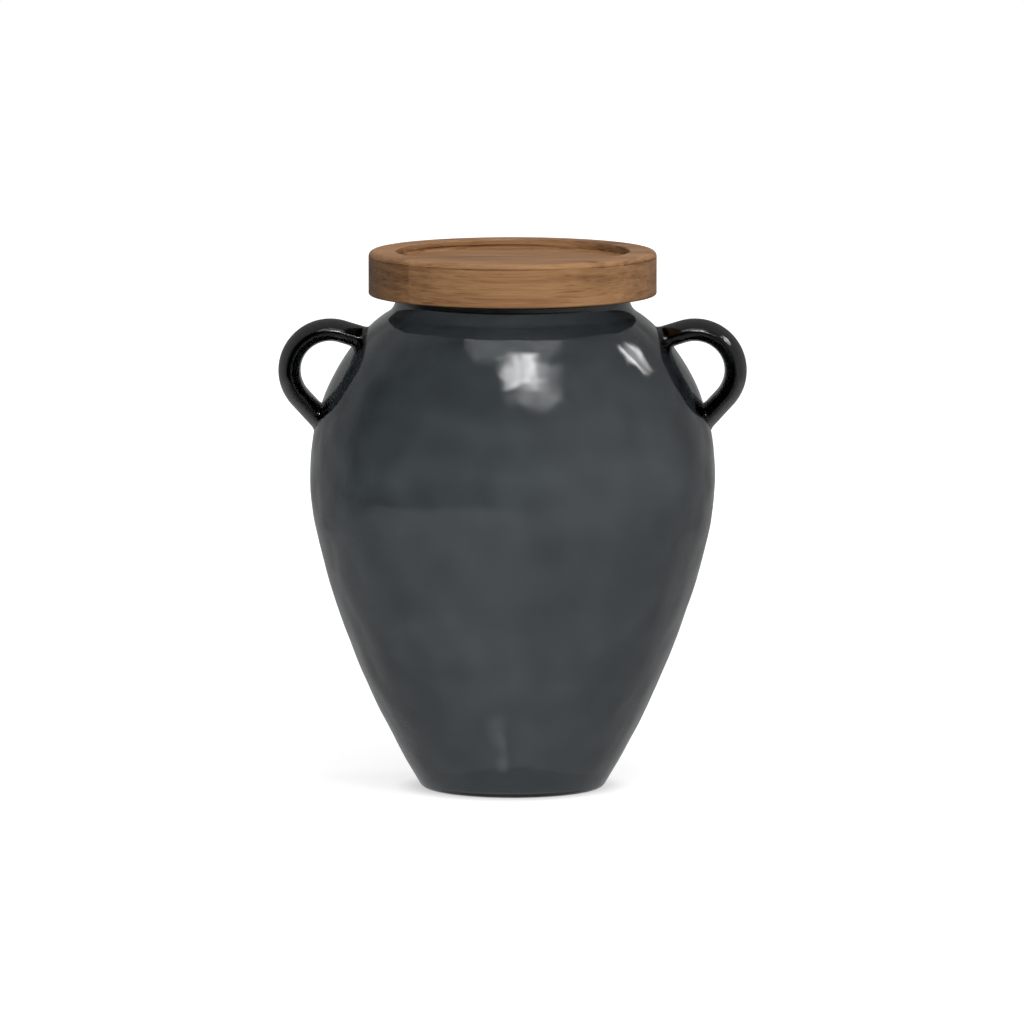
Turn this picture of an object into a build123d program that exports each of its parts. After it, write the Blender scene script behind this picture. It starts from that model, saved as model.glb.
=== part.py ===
"""Olive jar: a hand-blown smoke glass jar with two loop handles and a dished wooden lid.

All sizes are in millimetres and all angles in degrees. +Z is up. The origin is on the floor,
in the middle of the foot. X runs through the two handles and -Y is the front.

The jar is one blown shell with two solid glass handles fused to its shoulder. The lid is a dished
disc turned from three boards glued edge to edge. A plug glued under it drops into the mouth, and a
silicone ring in the plug's groove seals against the glass.
"""

import os
from math import cos, radians, sin

from build123d import *

# The jar's outside, from the foot up
foot_radius = 43.0  # edge of the flat underside that it stands on
foot_round = 4.0  # rounding between that underside and the wall
belly_radius = 101.65  # widest place
belly_height = 155.0
neck_radius = 58.5  # narrowest place, just under the lid
throat_round = 8.5  # hollow curve between the shoulder and the neck
rim_height = 247.4  # top of the mouth

# How far the wall leans from upright, and how far each curve pulls along its ends
foot_lean = 31.0
shoulder_lean = 59.2
foot_pull_share = 0.49
belly_low_pull_share = 0.127
belly_high_pull_share = 0.505
shoulder_pull_share = 0.17

# The jar's inside
glass_wall = 3.6
base_thickness = 2.5
inner_foot_round = 2.0

# Handles: a solid glass strap bent once, between two straight runs that end in the shoulder
handle_half_thickness = 5.65  # in the plane of the loop
handle_half_depth = 12.5  # across it
handle_bend_radius = 20.4  # of the strap's centre line
handle_stand_out = 15.4  # how far the strap reaches past the belly
handle_height_share = 0.59  # where the bend's centre lies, from the belly up to the rim
handle_top_fall = 17.0  # the upper run falls this much towards the jar
handle_low_lean = 42.7  # the lower run leans this much from upright

# How far the strap's section pulls along its ends, in shares of its half thickness: it has a blunt
# keel outside, a flat inside with round corners, and its greatest depth half way between them
outer_edge_pull_share = 0.6
outer_side_pull_share = 0.25
inner_side_pull_share = 0.6
inner_edge_pull_share = 1.6

# Lid: three boards
lid_overhang = 13.4  # past the neck
lid_thickness = 21.9
lid_top_round = 2.8
lid_bottom_round = 1.0
lid_rim_width = 13.6  # flat ring round the dish
dish_depth = 4.6
dish_edge_round = 0.7
dish_floor_round = 0.9
glue_line_shares = -0.672, 0.163  # of the lid's radius, from its middle towards the back
board_turn = 2.15  # the boards lie turned by this much

# Plug under the lid, with the groove that holds the sealing ring
seat_gap = 0.25  # between the rim and the underside of the lid
plug_clearance = 2.2  # between the plug and the inside of the neck
plug_depth = 5.4
plug_edge_round = 0.8
groove_depth = 2.0
groove_height = 3.2
groove_drop = 1.0  # from the underside of the lid to the top of the groove

# Silicone ring
seal_groove_clearance = 0.06  # to the bottom of the groove
seal_side_clearance = 0.15  # to each side of the groove
seal_lip_clearance = 0.2  # between its lips and the glass
seal_band = 2.6  # thickness of the band that the lips stand on
seal_lip_thickness = 0.8
seal_lip_round = 0.3

overrun = 20.0  # how far cutting shapes reach past what they cut

# Sizes that follow from those above
rim_round = glass_wall / 2
throat_height = rim_height - rim_round
mouth_radius = neck_radius - glass_wall
lid_radius = neck_radius + lid_overhang
lid_seat = rim_height + seat_gap
lid_top = lid_seat + lid_thickness
dish_radius = lid_radius - lid_rim_width
dish_floor = lid_top - dish_depth
plug_radius = mouth_radius - plug_clearance
plug_bottom = lid_seat - plug_depth
groove_radius = plug_radius - groove_depth
groove_top = lid_seat - groove_drop
groove_bottom = groove_top - groove_height
handle_centre_x = belly_radius + handle_stand_out - handle_half_thickness - handle_bend_radius
handle_centre_z = belly_height + handle_height_share * (rim_height - belly_height)


def up_the_wall(lean):
    """Direction along a wall that leans outwards by lean degrees from upright."""
    return Vector(sin(radians(lean)), cos(radians(lean)))


def out_of_the_wall(lean):
    """Direction square to that wall, away from the jar's axis."""
    return Vector(cos(radians(lean)), -sin(radians(lean)))


def pulled_curve(start, start_way, start_share, end, end_way, end_share):
    """A smooth curve whose ends run along the given ways, each for a share of the chord."""
    chord = (end - start).length
    return Bezier(start, start + start_way * chord * start_share, end - end_way * chord * end_share, end)


def wall_curves(floor_edge, corner_round, inset):
    """The wall from the edge of a flat floor up to the neck, moved in by inset.

    Points are (radius, height), here and in every outline below.
    """
    wall_start = floor_edge + Vector(0, corner_round) + out_of_the_wall(foot_lean) * corner_round
    belly = Vector(belly_radius - inset, belly_height)
    throat_centre = Vector(neck_radius + throat_round, throat_height)
    throat_radius = throat_round + inset
    shoulder_end = throat_centre - out_of_the_wall(-shoulder_lean) * throat_radius
    neck = Vector(neck_radius - inset, throat_height)
    low, upright, high = up_the_wall(foot_lean), up_the_wall(0), up_the_wall(-shoulder_lean)
    return [
        TangentArc(floor_edge, wall_start, tangent=(1, 0)),
        pulled_curve(wall_start, low, foot_pull_share, belly, upright, belly_low_pull_share),
        pulled_curve(belly, upright, belly_high_pull_share, shoulder_end, high, shoulder_pull_share),
        TangentArc(shoulder_end, neck, tangent=high),
    ]


def outer_curves():
    """The jar's outside, from the middle of the underside to the neck."""
    floor_edge = Vector(foot_radius, 0)
    return [
        Line((0, 0), floor_edge),
        *wall_curves(floor_edge, foot_round, 0),
    ]


def inner_floor_edge():
    """Where the inner floor ends, so that the wall above it is glass_wall thick."""
    outer_start = Vector(foot_radius, foot_round) + out_of_the_wall(foot_lean) * foot_round
    offset_start = outer_start - out_of_the_wall(foot_lean) * glass_wall
    wall_start_height = base_thickness + inner_foot_round * (1 - sin(radians(foot_lean)))
    climb = (wall_start_height - offset_start.Y) / cos(radians(foot_lean))
    wall_start = offset_start + up_the_wall(foot_lean) * climb
    return Vector(wall_start.X - inner_foot_round * cos(radians(foot_lean)), base_thickness)


def inner_curves():
    """The jar's inside, from the middle of the inner floor to the neck."""
    floor_edge = inner_floor_edge()
    return [
        Line((0, base_thickness), floor_edge),
        *wall_curves(floor_edge, inner_foot_round, glass_wall),
    ]


def turned(curves):
    """A solid turned about Z from the curves of a closed outline."""
    return revolve(Plane.XZ * make_face(curves), Axis.Z)


def turned_corners(corners, rounds):
    """A solid turned from straight sides. Each corner but the first and the last has its rounding."""
    sides = FilletPolyline(*corners, radius=rounds)
    return turned([sides, Line(sides @ 1, sides @ 0)])


def jar_envelope():
    """The jar filled solid up to its neck: what trims the handles."""
    curves = outer_curves()
    closing = Polyline(curves[-1] @ 1, (0, throat_height), curves[0] @ 0)
    return turned([*curves, closing])


def glass_body():
    """The blown shell with its rounded rim."""
    outer, inner = outer_curves(), inner_curves()
    rim = ThreePointArc(outer[-1] @ 1, (neck_radius - rim_round, rim_height), inner[-1] @ 1)
    axis_line = Line(inner[0] @ 0, outer[0] @ 0)
    return turned([*outer, rim, *inner, axis_line])


def handle_section():
    """The strap's section, drawn as two halves. X points out of the loop and Y along its depth."""
    edge = Vector(handle_half_thickness, 0)
    curves = []
    for side_sign in (1, -1):
        depth_way = Vector(0, side_sign)
        side = depth_way * handle_half_depth
        outer_pull = depth_way * handle_half_thickness * outer_edge_pull_share
        inner_pull = depth_way * handle_half_thickness * inner_edge_pull_share
        curves.append(Bezier(edge, edge + outer_pull, side + edge * outer_side_pull_share, side))
        curves.append(Bezier(side, side - edge * inner_side_pull_share, -edge + inner_pull, -edge))
    return make_face(curves)


def handle_path():
    """The strap's centre line on the +X side: in from under the neck, round the bend and back in."""
    centre = Vector(handle_centre_x, handle_centre_z)
    upper_way = out_of_the_wall(-handle_top_fall)
    lower_way = up_the_wall(handle_low_lean)
    bend_top = centre + up_the_wall(-handle_top_fall) * handle_bend_radius
    bend_side = centre + Vector(handle_bend_radius, 0)
    bend_low = centre + out_of_the_wall(handle_low_lean) * handle_bend_radius
    upper_root = bend_top - upper_way * ((bend_top.X - neck_radius) / upper_way.X)
    lower_root = bend_low - lower_way * ((bend_low.X - neck_radius) / lower_way.X)
    return [
        Line(upper_root, bend_top),
        ThreePointArc(bend_top, bend_side, bend_low),
        Line(bend_low, lower_root),
    ]


def right_handle():
    """One handle, trimmed so that its two roots lie face to face on the jar."""
    path = Plane.XZ * Wire(handle_path())
    out_of_the_loop = up_the_wall(-handle_top_fall)
    start = Plane(origin=path @ 0, x_dir=(out_of_the_loop.X, 0, out_of_the_loop.Y), z_dir=path % 0)
    return sweep(start * handle_section(), path) - jar_envelope()


def lid_blank():
    """The dished disc before it is divided into boards."""
    corners = [
        (0, dish_floor),
        (dish_radius, dish_floor),
        (dish_radius, lid_top),
        (lid_radius, lid_top),
        (lid_radius, lid_seat),
        (0, lid_seat),
    ]
    return turned_corners(corners, [dish_floor_round, dish_edge_round, lid_top_round, lid_bottom_round])


def lid_boards():
    """The disc divided along its glue lines, from the front board to the back one."""
    blank = lid_blank()
    reach = lid_radius + overrun
    glue_lines = [share * lid_radius for share in glue_line_shares]
    sides = [-reach, *glue_lines, reach]
    boards = []
    for near, far in zip(sides, sides[1:]):
        stock = Pos(0, (near + far) / 2, lid_seat) * Box(2 * reach, far - near, 2 * reach)
        boards.append(blank & (Rot(0, 0, board_turn) * stock))
    return boards


def lid_plug():
    """The disc glued under the boards, grooved for the ring."""
    corners = [
        (0, lid_seat),
        (plug_radius, lid_seat),
        (plug_radius, groove_top),
        (groove_radius, groove_top),
        (groove_radius, groove_bottom),
        (plug_radius, groove_bottom),
        (plug_radius, plug_bottom),
        (0, plug_bottom),
    ]
    return turned_corners(corners, [0, 0, 0, 0, 0, plug_edge_round])


def seal_ring():
    """A band in the groove with a thin lip at each edge that reaches for the glass."""
    inner = groove_radius + seal_groove_clearance
    band = inner + seal_band
    lip = mouth_radius - seal_lip_clearance
    top = groove_top - seal_side_clearance
    bottom = groove_bottom + seal_side_clearance
    corners = [
        (inner, top),
        (lip, top),
        (lip, top - seal_lip_thickness),
        (band, top - seal_lip_thickness),
        (band, bottom + seal_lip_thickness),
        (lip, bottom + seal_lip_thickness),
        (lip, bottom),
        (inner, bottom),
    ]
    return turned_corners(corners, [seal_lip_round, seal_lip_round, 0, 0, seal_lip_round, seal_lip_round])


def main():
    front, middle, back = lid_boards()
    handle = right_handle()
    parts = {
        "glass_body": glass_body(),
        "handle_right": handle,
        "handle_left": Rot(0, 0, 180) * handle,
        "lid_board_front": front,
        "lid_board_middle": middle,
        "lid_board_back": back,
        "lid_plug": lid_plug(),
        "seal_ring": seal_ring(),
    }
    os.makedirs("parts", exist_ok=True)
    for name, shape in parts.items():
        export_step(shape, f"parts/{name}.step")
        size = shape.bounding_box().size
        print(f"{name}: {shape.volume / 1000:.1f} cm3, {size.X:.1f} x {size.Y:.1f} x {size.Z:.1f} mm")


main()
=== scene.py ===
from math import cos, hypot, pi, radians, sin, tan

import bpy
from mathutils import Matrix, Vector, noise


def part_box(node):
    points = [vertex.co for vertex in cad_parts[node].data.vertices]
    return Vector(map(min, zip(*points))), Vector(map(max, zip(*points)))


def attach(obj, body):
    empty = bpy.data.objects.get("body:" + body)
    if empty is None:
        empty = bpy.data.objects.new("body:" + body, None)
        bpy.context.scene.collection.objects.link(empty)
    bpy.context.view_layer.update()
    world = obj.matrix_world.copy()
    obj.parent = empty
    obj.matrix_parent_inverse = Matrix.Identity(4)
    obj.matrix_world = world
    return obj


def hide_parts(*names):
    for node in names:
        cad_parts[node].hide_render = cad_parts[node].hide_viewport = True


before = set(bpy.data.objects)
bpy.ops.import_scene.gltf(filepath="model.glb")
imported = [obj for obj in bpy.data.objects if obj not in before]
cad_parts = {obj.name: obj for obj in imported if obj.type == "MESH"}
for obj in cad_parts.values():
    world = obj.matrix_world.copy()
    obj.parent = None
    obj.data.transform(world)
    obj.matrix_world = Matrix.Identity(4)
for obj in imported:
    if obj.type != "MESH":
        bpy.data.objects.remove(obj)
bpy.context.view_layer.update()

# The looks of the olive jar: hand-blown smoke glass, two solid glass handles and an oiled wooden lid.
# Lengths are in metres and angles in degrees. +Z is up, X runs through the handles and -Y is the front.
# Outline points are (radius, height).

MM = 0.001

# The glass, with the same sizes as its CAD solids
glass_low, glass_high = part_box("glass_body")
BELLY_RADIUS = (glass_high[0] - glass_low[0]) / 2
RIM_HEIGHT = glass_high[2]
FOOT_RADIUS = 43.0 * MM
FOOT_ROUND = 4.0 * MM
BELLY_HEIGHT = 155.0 * MM
NECK_RADIUS = 58.5 * MM
THROAT_ROUND = 8.5 * MM
FOOT_LEAN = 31.0
SHOULDER_LEAN = 59.2
FOOT_PULL_SHARE = 0.49
BELLY_LOW_PULL_SHARE = 0.127
BELLY_HIGH_PULL_SHARE = 0.505
SHOULDER_PULL_SHARE = 0.17
WALL = 3.6 * MM
BASE_THICKNESS = 2.5 * MM
INNER_FOOT_ROUND = 2.0 * MM
RIM_ROUND = WALL / 2
THROAT_HEIGHT = RIM_HEIGHT - RIM_ROUND

# The handles: a solid strap of glass, bent once
STRAP_HALF_THICKNESS = 5.65 * MM  # in the plane of the loop
STRAP_HALF_DEPTH = 12.5 * MM
OUTER_EDGE_PULL_SHARE = 0.6
OUTER_SIDE_PULL_SHARE = 0.25
INNER_SIDE_PULL_SHARE = 0.6
INNER_EDGE_PULL_SHARE = 1.6
BEND_RADIUS = 20.4 * MM
HANDLE_STAND_OUT = 15.4 * MM
HANDLE_HEIGHT_SHARE = 0.59
HANDLE_TOP_FALL = 17.0
HANDLE_LOW_LEAN = 42.7
ROOT_BURY = 0.45 * MM  # how deep the roots reach into the wall they are fused to
ROOT_FLARE = 0.7 * MM  # how much the soft glass spread where it met the wall
ROOT_FLARE_REACH = 3.0 * MM

# Hand-blown unevenness: depth and spacing of the shallow waves in each wall
OUTER_WAVES = [(0.20 * MM, 46 * MM), (0.36 * MM, 15 * MM), (0.08 * MM, 6.5 * MM)]
INNER_WAVES = [(0.30 * MM, 38 * MM), (0.28 * MM, 15 * MM)]
STRAP_WAVES = [(0.10 * MM, 14 * MM)]
OUTER_SEED = 11.3
INNER_SEED = 5.9
STRAP_SEED = 2.1
NOISE_GAIN = 0.75  # the noise swings by up to 1, and what then passes half a wave's depth is cut off
LAYER_SHIFT = 3.7  # between one layer of waves and the next, in spacings
STRAP_WAVE_SHIFT = 50 * MM  # each handle's way into the noise, to one side or the other
WAVE_FADE = 9 * MM  # the waves die out this near to the foot and the rim
# Near the widest ring the wall lies in by half its waves' depth, so that they stay within the CAD
# size: that starts at this share of the belly's radius and is in full this much farther out
NEAR_BELLY_SHARE = 0.975
NEAR_BELLY_FADE_SHARE = 0.02

# How finely the meshes are cut
SEGMENTS = 288  # round the jar
OUTER_STEPS = 92  # along each of the outer wall's two long curves
INNER_STEPS = 80  # the same for the inner wall
LONG_TO_THROAT_STEPS = 4  # a long curve has this many times the steps of the throat's rounding
UNDERSIDE_STEPS = 12
INNER_FLOOR_STEPS = 14
CORNER_STEPS = 12
INNER_WALL_START = 1 * MM  # the wall's first point is at least this far above the inner corner
STRAP_SEGMENTS = 56  # round a handle
BEND_STEPS = 64
RUN_STEPS = 22
RUN_CROWDING = 1.6  # how much a run's rings crowd towards the wall
FLARE_POWER = 2.2  # how late the roots spread
FINE_STEPS = 120  # on lines that are only measured


def polar(radius, angle):
    return radius * cos(radians(angle)), radius * sin(radians(angle))


def shifted(point, by, times=1.0):
    return point[0] + by[0] * times, point[1] + by[1] * times


def arc(centre, radius, start, end, steps):
    """Points on a circle, from one angle to another, counted from the radius axis towards +Z."""
    return [shifted(centre, polar(radius, start + (end - start) * i / steps)) for i in range(steps + 1)]


def bezier(corners, steps):
    """Points on a cubic curve."""
    points = []
    for i in range(steps + 1):
        t = i / steps
        weights = (1 - t) ** 3, 3 * t * (1 - t) ** 2, 3 * t**2 * (1 - t), t**3
        points.append(tuple(sum(w * c[k] for w, c in zip(weights, corners)) for k in (0, 1)))
    return points


def pulled_curve(start, start_way, start_share, end, end_way, end_share, steps):
    """A curve whose ends run along the given ways, each for a share of the chord."""
    chord = hypot(end[0] - start[0], end[1] - start[1])
    return bezier((
        start,
        shifted(start, start_way, chord * start_share),
        shifted(end, end_way, -chord * end_share),
        end,
    ), steps)


def moved_in(points, by):
    """The points of an outline, each moved square to it towards the jar's axis."""
    moved = []
    for k, point in enumerate(points):
        before, after = points[max(k - 1, 0)], points[min(k + 1, len(points) - 1)]
        run, climb = after[0] - before[0], after[1] - before[1]
        length = hypot(run, climb)
        moved.append(shifted(point, (-climb / length, run / length), by))
    return moved


def up_the_wall(lean):
    return sin(radians(lean)), cos(radians(lean))


def out_of_the_wall(lean):
    return cos(radians(lean)), -sin(radians(lean))


def wall_start(corner):
    """Where the straight-leaning wall leaves the round foot."""
    return shifted(corner, out_of_the_wall(FOOT_LEAN), FOOT_ROUND)


def wall_points(steps):
    """The outside of the wall, from the foot's rounding up to the throat."""
    start = wall_start((FOOT_RADIUS, FOOT_ROUND))
    belly = BELLY_RADIUS, BELLY_HEIGHT
    throat = NECK_RADIUS + THROAT_ROUND, THROAT_HEIGHT
    shoulder_end = shifted(throat, out_of_the_wall(-SHOULDER_LEAN), -THROAT_ROUND)
    low, upright, high = up_the_wall(FOOT_LEAN), up_the_wall(0), up_the_wall(-SHOULDER_LEAN)
    lower = pulled_curve(start, low, FOOT_PULL_SHARE, belly, upright, BELLY_LOW_PULL_SHARE, steps)
    upper = pulled_curve(
        belly, upright, BELLY_HIGH_PULL_SHARE, shoulder_end, high, SHOULDER_PULL_SHARE, steps,
    )
    rounding = arc(throat, THROAT_ROUND, 180 + SHOULDER_LEAN, 180, steps // LONG_TO_THROAT_STEPS)
    return lower + upper[1:] + rounding[1:]


def outer_points(steps):
    """The jar's outside, from the middle of the underside to the neck."""
    underside = [(FOOT_RADIUS * i / UNDERSIDE_STEPS, 0.0) for i in range(UNDERSIDE_STEPS)]
    foot = arc((FOOT_RADIUS, FOOT_ROUND), FOOT_ROUND, -90, -FOOT_LEAN, CORNER_STEPS)
    return underside + foot[:-1] + wall_points(steps)


def inner_points(steps):
    """The jar's inside, from the middle of the inner floor to the neck."""
    start = moved_in(wall_points(steps)[:2], WALL)[0]
    start_height = BASE_THICKNESS + INNER_FOOT_ROUND * (1 - sin(radians(FOOT_LEAN)))
    climb = (start_height - start[1]) / cos(radians(FOOT_LEAN))
    corner_end = shifted(start, up_the_wall(FOOT_LEAN), climb)
    edge = corner_end[0] - INNER_FOOT_ROUND * cos(radians(FOOT_LEAN))
    floor = [(edge * i / INNER_FLOOR_STEPS, BASE_THICKNESS) for i in range(INNER_FLOOR_STEPS)]
    centre = edge, BASE_THICKNESS + INNER_FOOT_ROUND
    corner = arc(centre, INNER_FOOT_ROUND, -90, -FOOT_LEAN, CORNER_STEPS)
    lowest = start_height + INNER_WALL_START
    wall = [point for point in moved_in(wall_points(steps), WALL) if point[1] > lowest]
    return floor + corner + wall


def waves(place, depths, seed):
    """The unevenness at a place, between -1/2 and 1/2 of each depth."""
    swing = 0.0
    for number, (depth, spacing) in enumerate(depths):
        spot = Vector(place) / spacing + Vector((seed, LAYER_SHIFT * number, -seed))
        swing += depth * min(0.5, max(-0.5, NOISE_GAIN * noise.noise(spot)))
    return swing


def smooth_mesh(name, verts, faces):
    mesh = bpy.data.meshes.new(name)
    mesh.from_pydata(verts, [], faces)
    mesh.update()
    mesh.polygons.foreach_set("use_smooth", [True] * len(mesh.polygons))
    piece = bpy.data.objects.new(name, mesh)
    bpy.context.scene.collection.objects.link(piece)
    return piece


def lathe(name, outline, dip):
    """A closed mesh turned about Z from an outline that starts and ends on the axis.

    dip(place, index) says how far each vertex goes in, against its normal.
    """
    verts, faces = [(0.0, 0.0, outline[0][1])], []
    for k in range(1, len(outline) - 1):
        (r0, z0), (r1, z1) = outline[k - 1], outline[k + 1]
        length = hypot(r1 - r0, z1 - z0)
        out_r, out_z = (z1 - z0) / length, -(r1 - r0) / length
        r, z = outline[k]
        for s in range(SEGMENTS):
            around = 2 * pi * s / SEGMENTS
            depth = dip((r * cos(around), r * sin(around), z), k)
            dipped = r - out_r * depth
            verts.append((dipped * cos(around), dipped * sin(around), z - out_z * depth))
    verts.append((0.0, 0.0, outline[-1][1]))
    rings = len(outline) - 2
    for s in range(SEGMENTS):
        t = (s + 1) % SEGMENTS
        faces.append((0, 1 + t, 1 + s))
        for k in range(rings - 1):
            a, b = 1 + k * SEGMENTS, 1 + (k + 1) * SEGMENTS
            faces.append((a + s, a + t, b + t, b + s))
        last = 1 + (rings - 1) * SEGMENTS
        faces.append((last + s, last + t, len(verts) - 1))
    return smooth_mesh(name, verts, faces)


def clamped(share):
    return min(1.0, max(0.0, share))


def eased(share):
    """A climb from 0 to 1 with a soft start and end."""
    share = clamped(share)
    return share * share * (3 - 2 * share)


def wave_fade(height):
    """0 at the foot and the rim, 1 on the wall between."""
    return eased((height - FOOT_ROUND) / WAVE_FADE) * eased((THROAT_HEIGHT - height) / WAVE_FADE)


def glass_body():
    outer, inner = outer_points(OUTER_STEPS), inner_points(INNER_STEPS)
    rim = arc((NECK_RADIUS - RIM_ROUND, THROAT_HEIGHT), RIM_ROUND, 0, 180, CORNER_STEPS)[1:-1]
    outline = outer + rim + inner[::-1]
    outer_rest = sum(depth for depth, _ in OUTER_WAVES) / 2

    def dip(place, k):
        if k < len(outer):
            past = hypot(place[0], place[1]) / BELLY_RADIUS - NEAR_BELLY_SHARE
            rest = outer_rest * clamped(past / NEAR_BELLY_FADE_SHARE)
            return rest + waves(place, OUTER_WAVES, OUTER_SEED) * wave_fade(place[2])
        if k >= len(outer) + len(rim):
            return waves(place, INNER_WAVES, INNER_SEED) * wave_fade(place[2])
        return 0.0

    return lathe("jar_glass", outline, dip)


def strap_section():
    """The strap's section as (outwards, depth) points: a blunt keel outside and a flat inside."""
    thick, deep = STRAP_HALF_THICKNESS, STRAP_HALF_DEPTH
    outer = bezier((
        (thick, 0.0),
        (thick, OUTER_EDGE_PULL_SHARE * thick),
        (OUTER_SIDE_PULL_SHARE * thick, deep),
        (0.0, deep),
    ), FINE_STEPS)
    inner = bezier((
        (0.0, deep),
        (-INNER_SIDE_PULL_SHARE * thick, deep),
        (-thick, INNER_EDGE_PULL_SHARE * thick),
        (-thick, 0.0),
    ), FINE_STEPS)
    front = evenly(outer + inner[1:], STRAP_SEGMENTS // 2)
    return front[:-1] + [(out, -depth) for out, depth in front[:0:-1]]


def evenly(points, count):
    """The line through the points, cut into count equal lengths."""
    lengths = [0.0]
    for (x0, y0), (x1, y1) in zip(points, points[1:]):
        lengths.append(lengths[-1] + hypot(x1 - x0, y1 - y0))
    spaced, k = [], 0
    for i in range(count + 1):
        at = lengths[-1] * i / count
        while k < len(lengths) - 2 and lengths[k + 1] < at:
            k += 1
        share = (at - lengths[k]) / (lengths[k + 1] - lengths[k])
        spaced.append(tuple(a + (b - a) * share for a, b in zip(points[k], points[k + 1])))
    return spaced


def outer_radius(height, table):
    """The jar's radius at a height."""
    for (r0, z0), (r1, z1) in zip(table, table[1:]):
        if z0 <= height <= z1:
            return r0 + (r1 - r0) * (height - z0) / (z1 - z0)
    return NECK_RADIUS


def reach_of_the_wall(start, way, table):
    """How far a line from start along way goes until it is ROOT_BURY deep in the wall."""
    near, far = 0.0, 3 * BEND_RADIUS
    halvings = 40
    for _ in range(halvings):
        middle = (near + far) / 2
        p = start + way * middle
        if hypot(p.x, p.y) > outer_radius(p.z, table) - ROOT_BURY:
            near = middle
        else:
            far = middle
    return near


def in_the_loop(angle):
    """The way from the bend's centre, in the plane of the loop."""
    return Vector((cos(radians(angle)), 0.0, sin(radians(angle))))


def spokes(section, angle):
    """From the strap's spine to the points of its section, at an angle round the bend."""
    out = in_the_loop(angle)
    return [out * outwards + Vector((0.0, depth, 0.0)) for outwards, depth in section]


def run_rings(bend_end, end_spokes, way, table):
    """The straight run from the bend's end to the wall, where the root spreads a little."""
    lines = []
    for spoke in end_spokes:
        start = bend_end + spoke
        reach = reach_of_the_wall(start, way, table)
        line = []
        for i in range(1, RUN_STEPS + 1):
            gone = reach * (1 - (1 - i / RUN_STEPS) ** RUN_CROWDING)
            spread = max(0.0, 1 - (reach - gone) / ROOT_FLARE_REACH) ** FLARE_POWER
            line.append(start + way * gone + spoke.normalized() * ROOT_FLARE * spread)
        lines.append(line)
    return [list(ring) for ring in zip(*lines)]


def strap_rings(centre):
    """Rings of points along the strap on the +X side, from its upper root to its lower one."""
    table = wall_points(FINE_STEPS)
    section = strap_section()
    first, last = 90 + HANDLE_TOP_FALL, -HANDLE_LOW_LEAN

    def spine(angle):
        return centre + in_the_loop(angle) * BEND_RADIUS

    bend = []
    for i in range(BEND_STEPS + 1):
        angle = first + (last - first) * i / BEND_STEPS
        bend.append([spine(angle) + spoke for spoke in spokes(section, angle)])
    upper = run_rings(spine(first), spokes(section, first), in_the_loop(first + 90), table)
    lower = run_rings(spine(last), spokes(section, last), in_the_loop(last - 90), table)
    return upper[::-1] + bend + lower


def handle(name, side):
    """A bent glass strap whose roots spread on the wall. side is 1 for +X and -1 for -X."""
    centre = Vector((
        BELLY_RADIUS + HANDLE_STAND_OUT - STRAP_HALF_THICKNESS - BEND_RADIUS,
        0.0,
        BELLY_HEIGHT + HANDLE_HEIGHT_SHARE * (RIM_HEIGHT - BELLY_HEIGHT),
    ))
    strap_rest = sum(depth for depth, _ in STRAP_WAVES) / 2
    rings = strap_rings(centre)
    count = len(rings[0])
    verts, faces = [], []
    for ring in rings:
        middle = sum(ring, Vector()) / count
        for p in ring:
            place = p.x, p.y + STRAP_WAVE_SHIFT * side, p.z
            dip = strap_rest + waves(place, STRAP_WAVES, STRAP_SEED)
            p = p + (middle - p).normalized() * dip
            verts.append((p.x * side, p.y * side, p.z))
    for k in range(len(rings) - 1):
        a, b = k * count, (k + 1) * count
        for s in range(count):
            t = (s + 1) % count
            faces.append((a + s, b + s, b + t, a + t))
    faces.append(tuple(range(count)))
    faces.append(tuple(len(verts) - 1 - s for s in range(count)))
    return smooth_mesh(name, verts, faces)


def add(tree, kind, inputs=None, **settings):
    """A node in the tree. Each input is a value, or a socket to link to."""
    node = tree.nodes.new(kind)
    for name, value in settings.items():
        setattr(node, name, value)
    for name, value in (inputs or {}).items():
        if isinstance(value, bpy.types.NodeSocket):
            tree.links.new(value, node.inputs[name])
        else:
            node.inputs[name].default_value = value
    return node


def maths(tree, operation, a, b=0.0, c=0.0):
    node = add(tree, "ShaderNodeMath", {0: a, 1: b, 2: c}, operation=operation)
    return node.outputs[0]


def new_material(name):
    material = bpy.data.materials.new(name)
    material.use_nodes = True
    material.node_tree.nodes.clear()
    return material, material.node_tree


def grey(value):
    return value, value, value, 1.0


# What the glass absorbs of red, green and blue, in e-folds to a metre: a smoke grey, a little blue
GLASS_ABSORBS = 419.0, 398.0, 388.0
DENSITY_OVER_ABSORBS = 1.1  # above 1, so that no colour's share falls to 0
GLASS_IOR = 1.5
BODY_ROUGHNESS = 0.06  # the blown skin's fine unevenness, which softens what it mirrors
HANDLE_ROUGHNESS = 0.02


def glass_material(name, roughness):
    material, tree = new_material(name)
    glass = add(tree, "ShaderNodeBsdfPrincipled", {
        "Base Color": grey(1.0),
        "Roughness": roughness,
        "IOR": GLASS_IOR,
        "Transmission Weight": 1.0,
    })
    density = max(GLASS_ABSORBS) * DENSITY_OVER_ABSORBS
    left_share = [1 - a / density for a in GLASS_ABSORBS]
    inside = add(tree, "ShaderNodeVolumeAbsorption", {"Color": (*left_share, 1.0), "Density": density})
    add(tree, "ShaderNodeOutputMaterial", {"Surface": glass.outputs[0], "Volume": inside.outputs[0]})
    return material


def blend_of(tree, factor, low, high):
    """low where factor is 0 and high where it is 1."""
    node = add(tree, "ShaderNodeMix", {0: factor, 2: low, 3: high}, data_type="FLOAT")
    return node.outputs[0]


def step_of(tree, value, low, high):
    """0 below low, 1 above high and a smooth climb between."""
    node = add(tree, "ShaderNodeMapRange", {"Value": value, "From Min": low, "From Max": high},
               interpolation_type="SMOOTHSTEP")
    return node.outputs[0]


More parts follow.
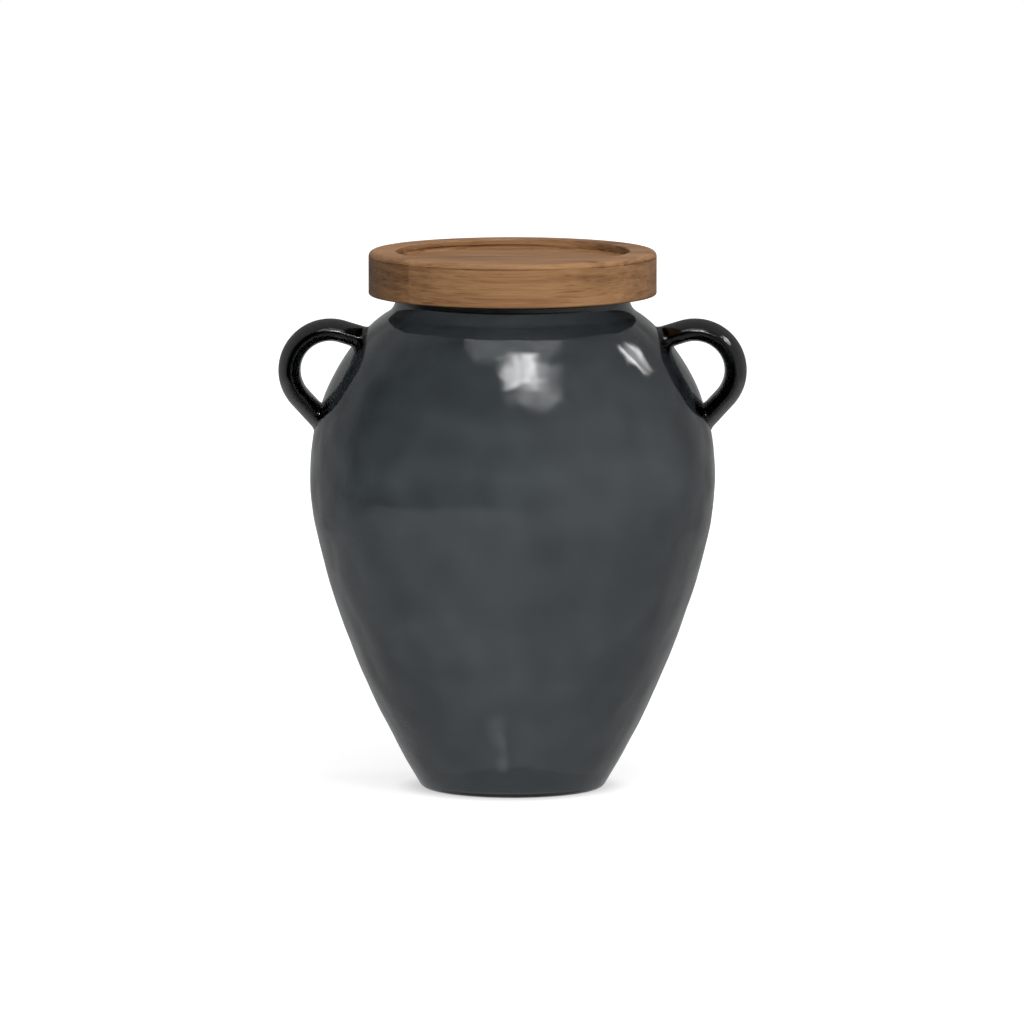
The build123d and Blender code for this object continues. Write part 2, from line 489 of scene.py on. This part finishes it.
# The wood's colours, from its palest fibres to its darkest streaks
WOOD_TONES = (
    (0.0, (0.300, 0.165, 0.078)),
    (0.35, (0.235, 0.124, 0.056)),
    (0.7, (0.150, 0.072, 0.031)),
    (1.0, (0.055, 0.024, 0.010)),
)

# Noise in the wood. Each layer: spots to a metre along the grain and up through it, detail, and an
# offset that sets it apart from the others
WOBBLE_NOISE = 7, 26, 2.0, 4.0
BAND_NOISE = 4, 80, 2.0, 31.0
STREAK_NOISE = 9, 430, 3.0, 17.0
FIBRE_NOISE = 26, 1400, 2.0, 9.0
PORE_NOISE = 90, 2100, 1.0, 23.0
FLECK_NOISE = 20, 620, 1.0, 41.0
# the next layer breaks up the line of painted shade under the lid's rounded edge
EDGE_SHADOW_NOISE = 16, 40, 1.0, 53.0
SEED_TO_Y = 1.7  # sets the boards' noise apart from front to back
FLAT_SAWN_SHARE = 0.16  # how fast the wood changes from front to back, against from top to bottom

# Where in their noise the marks start and where they are full
PORE_RANGE = 0.60, 0.72
FLECK_RANGE = 0.64, 0.74
EDGE_SHADOW_RANGE = 0.36, 0.56

# The tone that a board starts from and how much each layer darkens it, on the scale of WOOD_TONES
BASE_TONE = 0.39
LATE_WOOD_TONE = 0.10
BAND_TONE = 0.8
STREAK_TONE = 1.0
FIBRE_TONE = 0.7
PORE_TONE = 0.20
FLECK_TONE = 0.22
# the next weight is that of the thin line of painted shade under the lid's rounded edge
EDGE_SHADOW_TONE = 0.40

RING_WIDTH = 3.6 * MM  # from one growth ring to the next
RING_WOBBLE = 12 * MM  # the rings bend by up to half of it
LATE_WOOD_POWER = 4.0  # keeps each ring's dark late wood narrow
EDGE_SHADOW_HEIGHT = 266.7 * MM  # a broken dark line of painted shade just under the lid's rounded edge, where a small step would cast a thin shadow
EDGE_SHADOW_HALF_WIDTHS = 0.1 * MM, 0.55 * MM  # where it starts to fade and where it ends
LEFT_END = -38 * MM, -56 * MM  # where the shade at a board's -X end starts and where it is full

FIBRE_RELIEF_SHARE = 0.8  # of the pores' relief
RELIEF_DEPTH = 0.08 * MM
RELIEF_STRENGTH = 0.4
WOOD_ROUGHNESS = 0.46
FIBRE_ROUGHNESS = 0.18
OILED_WOOD_IOR = 1.35


def axes_of(tree, vector):
    """The three numbers of a vector."""
    apart = add(tree, "ShaderNodeSeparateXYZ", {0: vector})
    return [apart.outputs[k] for k in range(3)]


def grain_noise(tree, place, seed, layer):
    """One layer of noise, drawn out along the grain."""
    x, y, z = place
    along, across, detail, offset = layer
    spot = add(tree, "ShaderNodeCombineXYZ", {
        0: maths(tree, "MULTIPLY_ADD", x, along, seed + offset),
        1: maths(tree, "MULTIPLY_ADD", y, across * FLAT_SAWN_SHARE, seed * SEED_TO_Y),
        2: maths(tree, "MULTIPLY_ADD", z, across, offset - seed),
    })
    cloud = add(tree, "ShaderNodeTexNoise", {"Vector": spot.outputs[0], "Scale": 1.0, "Detail": detail})
    return cloud.outputs["Fac"]


def late_wood(tree, place, seed, pith):
    """0 in a growth ring's pale early wood and 1 at its dark end."""
    _, y, z = place
    swing = maths(tree, "SUBTRACT", grain_noise(tree, place, seed, WOBBLE_NOISE), 0.5)
    dy = maths(tree, "SUBTRACT", y, pith[0])
    dz = maths(tree, "SUBTRACT", z, pith[1])
    squares = maths(tree, "ADD", maths(tree, "MULTIPLY", dy, dy), maths(tree, "MULTIPLY", dz, dz))
    from_pith = maths(tree, "MULTIPLY_ADD", swing, RING_WOBBLE, maths(tree, "SQRT", squares))
    ring = maths(tree, "FRACT", maths(tree, "DIVIDE", from_pith, RING_WIDTH))
    return maths(tree, "POWER", ring, LATE_WOOD_POWER)


def edge_shadow_line(tree, place, seed):
    """1 on the broken line of painted shade round the lid, just under its rounded edge, and 0
    elsewhere.
    """
    off = maths(tree, "ABSOLUTE", maths(tree, "SUBTRACT", place[2], EDGE_SHADOW_HEIGHT))
    line = maths(tree, "SUBTRACT", 1.0, step_of(tree, off, *EDGE_SHADOW_HALF_WIDTHS))
    broken = step_of(tree, grain_noise(tree, place, seed, EDGE_SHADOW_NOISE), *EDGE_SHADOW_RANGE)
    return maths(tree, "MULTIPLY", line, broken)


def stacked(tree, tone, layers):
    """The tone with each layer added, times its weight."""
    for layer, weight in layers:
        tone = maths(tree, "MULTIPLY_ADD", layer, weight, tone)
    return tone


def wood_colour(tree, tone):
    ramp = add(tree, "ShaderNodeValToRGB", {"Fac": tone})
    stops = ramp.color_ramp.elements
    while len(stops) < len(WOOD_TONES):
        stops.new(0.5)  # each stop gets its own place below
    for stop, (at, colour) in zip(stops, WOOD_TONES):
        stop.position = at
        stop.color = (*colour, 1.0)
    return ramp.outputs[0]


def wood_surface(tree, tone, fibre, pores):
    """Oiled wood whose fibres stand up a little and whose pores are sunk."""
    relief = maths(tree, "SUBTRACT", maths(tree, "MULTIPLY", fibre, FIBRE_RELIEF_SHARE), pores)
    bump = add(tree, "ShaderNodeBump", {
        "Strength": RELIEF_STRENGTH,
        "Distance": RELIEF_DEPTH,
        "Height": relief,
    })
    wood = add(tree, "ShaderNodeBsdfPrincipled", {
        "Base Color": wood_colour(tree, tone),
        "Roughness": maths(tree, "MULTIPLY_ADD", fibre, FIBRE_ROUGHNESS, WOOD_ROUGHNESS),
        "Normal": bump.outputs[0],
        "IOR": OILED_WOOD_IOR,
    })
    return wood.outputs[0]


def wood_material(name, seed, pith, shade, left_shade):
    """Wood with its grain along X. pith is where the tree's middle lay, as (y, z).

    shade darkens the whole board, and left_shade only its end at -X.
    """
    material, tree = new_material(name)
    place = axes_of(tree, add(tree, "ShaderNodeTexCoord").outputs["Object"])

    def cloud(layer):
        return grain_noise(tree, place, seed, layer)

    def swing(layer):
        """Noise about 0, which lightens the wood as much as it darkens it."""
        return maths(tree, "SUBTRACT", cloud(layer), 0.5)

    pores = step_of(tree, cloud(PORE_NOISE), *PORE_RANGE)
    tone = stacked(tree, BASE_TONE + shade, (
        (late_wood(tree, place, seed, pith), LATE_WOOD_TONE),
        (swing(BAND_NOISE), BAND_TONE),
        (swing(STREAK_NOISE), STREAK_TONE),
        (swing(FIBRE_NOISE), FIBRE_TONE),
        (pores, PORE_TONE),
        (step_of(tree, cloud(FLECK_NOISE), *FLECK_RANGE), FLECK_TONE),
        # painted shade: a thin broken dark line under the lid's rounded edge
        (edge_shadow_line(tree, place, seed), EDGE_SHADOW_TONE),
        (step_of(tree, place[0], *LEFT_END), left_shade),
    ))
    wood = wood_surface(tree, tone, cloud(FIBRE_NOISE), pores)
    add(tree, "ShaderNodeOutputMaterial", {"Surface": wood})
    return material


# Each board: its material, the seed of its noise, the place of its tree's middle, the shade of the
# whole board and that of its end at -X
BOARDS = {
    "lid_board_front": ("wood_front", 3.1, (-0.05, 0.21), 0.0, 0.0),
    "lid_board_middle": ("wood_middle", 7.7, (-0.02, 0.17), 0.02, 0.02),
    "lid_board_back": ("wood_back", 12.9, (0.06, 0.34), 0.12, 0.0),
    "lid_plug": ("wood_plug", 21.3, (0.01, 0.12), 0.0, 0.0),
}

SILICONE_CLOUDS = 140.0  # to a metre
SILICONE_DETAIL = 3.0
SILICONE_DARK = 0.42, 0.42, 0.40, 1.0
SILICONE_PALE = 0.58, 0.58, 0.56, 1.0
SILICONE_ROUGHNESS = 0.5
SILICONE_MILKINESS = 0.3
SILICONE_SCATTER = 2 * MM


def silicone_material(name):
    material, tree = new_material(name)
    place = add(tree, "ShaderNodeTexCoord").outputs["Object"]
    cloud = add(tree, "ShaderNodeTexNoise", {
        "Vector": place,
        "Scale": SILICONE_CLOUDS,
        "Detail": SILICONE_DETAIL,
    })
    tint = add(tree, "ShaderNodeValToRGB", {"Fac": cloud.outputs["Fac"]})
    tint.color_ramp.elements[0].color = SILICONE_DARK
    tint.color_ramp.elements[1].color = SILICONE_PALE
    rubber = add(tree, "ShaderNodeBsdfPrincipled", {
        "Base Color": tint.outputs[0],
        "Roughness": SILICONE_ROUGHNESS,
        "Subsurface Weight": SILICONE_MILKINESS,
        "Subsurface Scale": SILICONE_SCATTER,
    })
    add(tree, "ShaderNodeOutputMaterial", {"Surface": rubber.outputs[0]})
    return material


def paint_node(node, material):
    """Puts one material on a CAD node."""
    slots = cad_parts[node].material_slots
    for material_slot in slots:
        material_slot.link = "OBJECT"
        material_slot.material = material


# The studio: a white light table in a dim room. Lamps shine on the matt surfaces, and the glass
# mirrors soft-edged patches of light, which have more shape than the lamps
FLOOR_RADIUS = 3.2
FLOOR_SEGMENTS = 96
FLOOR_DROP = 0.05 * MM  # keeps the floor clear of the underside
FLOOR_WHITE = 0.36
PAINTED_FOOT_SHADOW_GLOW = 0.50  # the glow close round the foot, dimmed as a painted contact shadow
FLOOR_GLOW = 0.775
FLOOR_FAR_GLOW = 1.0  # away from the jar
PAINTED_FOOT_SHADOW_EDGE = 0.041, 0.062  # where that painted shadow starts to lift and where it ends, from the jar's axis
FAR_GLOW_EDGE = 0.35, 1.2  # where the far glow starts and where it is full
LIGHT_DISTANCE = 3.0
LIGHT_TARGET = Vector((0.0, 0.0, 0.2))
# Each lamp: azimuth and elevation, width and height in degrees, radiance
LAMPS = {
    "main": (14.0, 58.5, 17.0, 25.0, 13.0),
    "side": (116.0, 38.0, 14.0, 14.0, 11.0),
    "overhead": (0.0, 90.0, 36.0, 36.0, 1.3),
    "front": (12.0, 12.0, 50.0, 30.0, 6.0),
}
# Each patch: azimuth and elevation, lean, width, height and soft edge in degrees, radiance
PATCHES = [
    (12.0, 63.0, 4.0, 17.0, 20.0, 9.0, 12.0),  # the main light
    (20.0, 52.8, 4.0, 23.0, 24.0, 9.0, 2.7),  # its dimmer lower part
    (120.5, 36.0, 18.0, 13.0, 13.0, 5.0, 3.0),  # the side light
    (114.4, 39.6, 16.0, 2.2, 14.5, 3.0, 9.0),  # its bright front edge
    (127.0, 34.5, 20.0, 4.0, 4.0, 5.0, 3.8),  # and a bright spot at its back
    (0.0, 90.0, 0.0, 36.0, 36.0, 8.0, 1.3),  # the overhead light
    (-20.0, -61.0, 0.0, 9.0, 7.0, 5.0, 0.55),  # a gleam of the table, seen low in the foot
]
PATCH_CLOUDS = 8.0  # how many clouds of uneven light fit across a radian
PATCH_CLOUD_DETAIL = 1.0
PATCH_WARP = 0.07  # how far they bend the edges
PATCH_UNEVENNESS = 1.6  # how much they dim and brighten the light
LEAST_AHEAD = 0.05  # as a cosine: a patch is only seen on its own side of the room
FIRST_MIRROR = 2.5  # the ray depth that ends the first mirroring: later ones would only sparkle

CAMERA_DISTANCE = 6.03
CAMERA_ELEVATION = 6.82
CAMERA_TARGET = Vector((-0.3 * MM, 0.0, 138.15 * MM))
PICTURE_WIDTH = 512 * MM  # what the picture shows across, at the jar
SENSOR = 36.0  # millimetres, as Blender counts it
CLIP_END = 100.0


def direction(azimuth, elevation):
    """Azimuth 0 points at the front, -Y, and 90 at +X."""
    a, e = radians(azimuth), radians(elevation)
    return Vector((sin(a) * cos(e), -cos(a) * cos(e), sin(e)))


def make_floor():
    verts = []
    for s in range(FLOOR_SEGMENTS):
        x, y = polar(FLOOR_RADIUS, 360 * s / FLOOR_SEGMENTS)
        verts.append((x, y, -FLOOR_DROP))
    floor = smooth_mesh("floor", verts, [tuple(range(FLOOR_SEGMENTS))])
    material, tree = new_material("floor_white")
    matt = add(tree, "ShaderNodeBsdfDiffuse", {"Color": grey(FLOOR_WHITE)})
    place = add(tree, "ShaderNodeTexCoord").outputs["Object"]
    away = add(tree, "ShaderNodeVectorMath", {0: place}, operation="LENGTH").outputs["Value"]
    open_glow = blend_of(tree, step_of(tree, away, *FAR_GLOW_EDGE), FLOOR_GLOW, FLOOR_FAR_GLOW)
    # painted contact shadow: the floor glows less close round the foot
    strength = blend_of(tree, step_of(tree, away, *PAINTED_FOOT_SHADOW_EDGE), PAINTED_FOOT_SHADOW_GLOW, open_glow)
    glow = add(tree, "ShaderNodeEmission", {"Color": grey(1.0), "Strength": strength})
    both = add(tree, "ShaderNodeAddShader", {0: matt.outputs[0], 1: glow.outputs[0]})
    add(tree, "ShaderNodeOutputMaterial", {"Surface": both.outputs[0]})
    floor.data.materials.append(material)
    floor.visible_diffuse = False
    floor.visible_glossy = False
    floor.visible_transmission = False


def make_lights():
    """A flat lamp sends out pi times its radiance from each square metre."""
    for name, (azimuth, elevation, wide, tall, radiance) in LAMPS.items():
        lamp = bpy.data.lights.new(name, "AREA")
        lamp.shape = "RECTANGLE"
        lamp.size = 2 * LIGHT_DISTANCE * tan(radians(wide / 2))
        lamp.size_y = 2 * LIGHT_DISTANCE * tan(radians(tall / 2))
        lamp.energy = radiance * pi * lamp.size * lamp.size_y
        box = bpy.data.objects.new(name, lamp)
        out = direction(azimuth, elevation)
        box.location = LIGHT_TARGET + out * LIGHT_DISTANCE
        box.rotation_euler = out.to_track_quat("Z", "Y").to_euler()
        box.visible_camera = False
        box.visible_glossy = False
        box.visible_transmission = False
        bpy.context.scene.collection.objects.link(box)


# How bright the room is where the glass mirrors it
FRONT_LEVEL = 0.12
RIGHT_EXTRA = 0.45  # at the right end, and as much less at the left
LEFT_LEAST = 0.02
BACK_LEVEL = 0.32
TABLE_LEVEL = 0.42
BACK_EDGE = radians(95), radians(125)  # round from the front, where the back of the room starts
TABLE_EDGE = -0.285, -0.195  # sines of the elevations where the table ends

# How bright it is for all else: behind the jar, through the glass and on matt surfaces
BEHIND_JAR_LEVEL = 1.0
THROUGH_GLASS_LEVEL = 1.0
MATT_LEVEL = 0.35
MATT_LOW_LEVEL = 0.10  # from below the horizon
HORIZON_BLUR = 0.03  # as a sine, above it and below it


def dot_of(tree, one, other):
    product = add(tree, "ShaderNodeVectorMath", {0: one, 1: other}, operation="DOT_PRODUCT")
    return product.outputs["Value"]


def soft_patch(tree, way, cloud, azimuth, elevation, lean, wide, tall, soft):
    """1 inside a light's patch of the room and 0 outside, with a soft edge that the cloud bends."""
    out = direction(azimuth, elevation)
    turn = out.to_track_quat("Z", "Y")
    ahead = dot_of(tree, way, out)
    divisor = maths(tree, "MAXIMUM", ahead, LEAST_AHEAD)
    inside = step_of(tree, ahead, 0.0, LEAST_AHEAD)
    along, aside = polar(1.0, lean)
    for axis, size in (((along, -aside, 0), wide), ((aside, along, 0), tall)):
        across = dot_of(tree, way, turn @ Vector(axis))
        off = maths(tree, "ABSOLUTE", maths(tree, "DIVIDE", across, divisor))
        off = maths(tree, "MULTIPLY_ADD", cloud, PATCH_WARP, off)
        near = tan(radians(max(size - soft, 0.0) / 2))
        far = tan(radians((size + soft) / 2))
        beyond = step_of(tree, off, near, far)
        inside = maths(tree, "MULTIPLY", inside, maths(tree, "SUBTRACT", 1.0, beyond))
    return inside


def mirrored_room(tree, way, ray_depth):
    """What the glass mirrors: the walls, the table and, the first time only, the lights."""
    x, y, z = axes_of(tree, way)
    from_front = maths(tree, "ABSOLUTE", maths(tree, "ARCTAN2", x, maths(tree, "MULTIPLY", y, -1.0)))
    front = maths(tree, "MAXIMUM", maths(tree, "MULTIPLY_ADD", x, RIGHT_EXTRA, FRONT_LEVEL), LEFT_LEAST)
    walls = blend_of(tree, step_of(tree, from_front, *BACK_EDGE), front, BACK_LEVEL)
    level = blend_of(tree, step_of(tree, z, *TABLE_EDGE), TABLE_LEVEL, walls)
    clouds = add(tree, "ShaderNodeTexNoise", {
        "Vector": way,
        "Scale": PATCH_CLOUDS,
        "Detail": PATCH_CLOUD_DETAIL,
    })
    cloud = maths(tree, "SUBTRACT", clouds.outputs["Fac"], 0.5)
    first_mirror = maths(tree, "LESS_THAN", ray_depth, FIRST_MIRROR)
    for *shape, radiance in PATCHES:
        patch = maths(tree, "MULTIPLY", soft_patch(tree, way, cloud, *shape), first_mirror)
        uneven = maths(tree, "MULTIPLY_ADD", cloud, -PATCH_UNEVENNESS * radiance, radiance)
        level = maths(tree, "MULTIPLY_ADD", patch, maths(tree, "MAXIMUM", uneven, 0.0), level)
    return level


def make_world():
    """The room, with its own brightness for each kind of ray."""
    world = bpy.data.worlds.new("studio")
    world.use_nodes = True
    world.cycles.sampling_method = "NONE"
    tree = world.node_tree
    tree.nodes.clear()
    way = add(tree, "ShaderNodeTexCoord").outputs["Generated"]
    height = axes_of(tree, way)[2]
    rays = add(tree, "ShaderNodeLightPath").outputs
    mirrored = mirrored_room(tree, way, rays["Ray Depth"])
    above = step_of(tree, height, -HORIZON_BLUR, HORIZON_BLUR)
    matt = blend_of(tree, above, MATT_LOW_LEVEL, MATT_LEVEL)
    level = blend_of(tree, rays["Is Diffuse Ray"], mirrored, matt)
    level = blend_of(tree, rays["Is Transmission Ray"], level, THROUGH_GLASS_LEVEL)
    level = blend_of(tree, rays["Is Camera Ray"], level, BEHIND_JAR_LEVEL)
    studio = add(tree, "ShaderNodeBackground", {"Color": grey(1.0), "Strength": level})
    add(tree, "ShaderNodeOutputWorld", {"Surface": studio.outputs[0]})
    bpy.context.scene.world = world


def make_camera():
    camera = bpy.data.objects.new("camera", bpy.data.cameras.new("camera"))
    camera.data.sensor_width = SENSOR
    camera.data.lens = SENSOR * CAMERA_DISTANCE / PICTURE_WIDTH
    camera.data.clip_end = CLIP_END
    camera.location = CAMERA_TARGET + direction(0, CAMERA_ELEVATION) * CAMERA_DISTANCE
    camera.rotation_euler = (radians(90 - CAMERA_ELEVATION), 0.0, 0.0)
    bpy.context.scene.collection.objects.link(camera)
    bpy.context.scene.camera = camera


make_camera()
make_world()
make_lights()
make_floor()
bpy.context.scene.view_settings.view_transform = "Standard"

smoke = glass_material("smoke_glass", BODY_ROUGHNESS)
body = glass_body()
body.data.materials.append(smoke)
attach(body, "jar")
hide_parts("glass_body")

strap_glass = glass_material("handle_glass", HANDLE_ROUGHNESS)
for node, side in (("handle_right", 1), ("handle_left", -1)):
    strap = handle(f"{node}_glass", side)
    strap.data.materials.append(strap_glass)
    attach(strap, "jar")
    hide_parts(node)

for node, board in BOARDS.items():
    paint_node(node, wood_material(*board))
paint_node("seal_ring", silicone_material("silicone"))
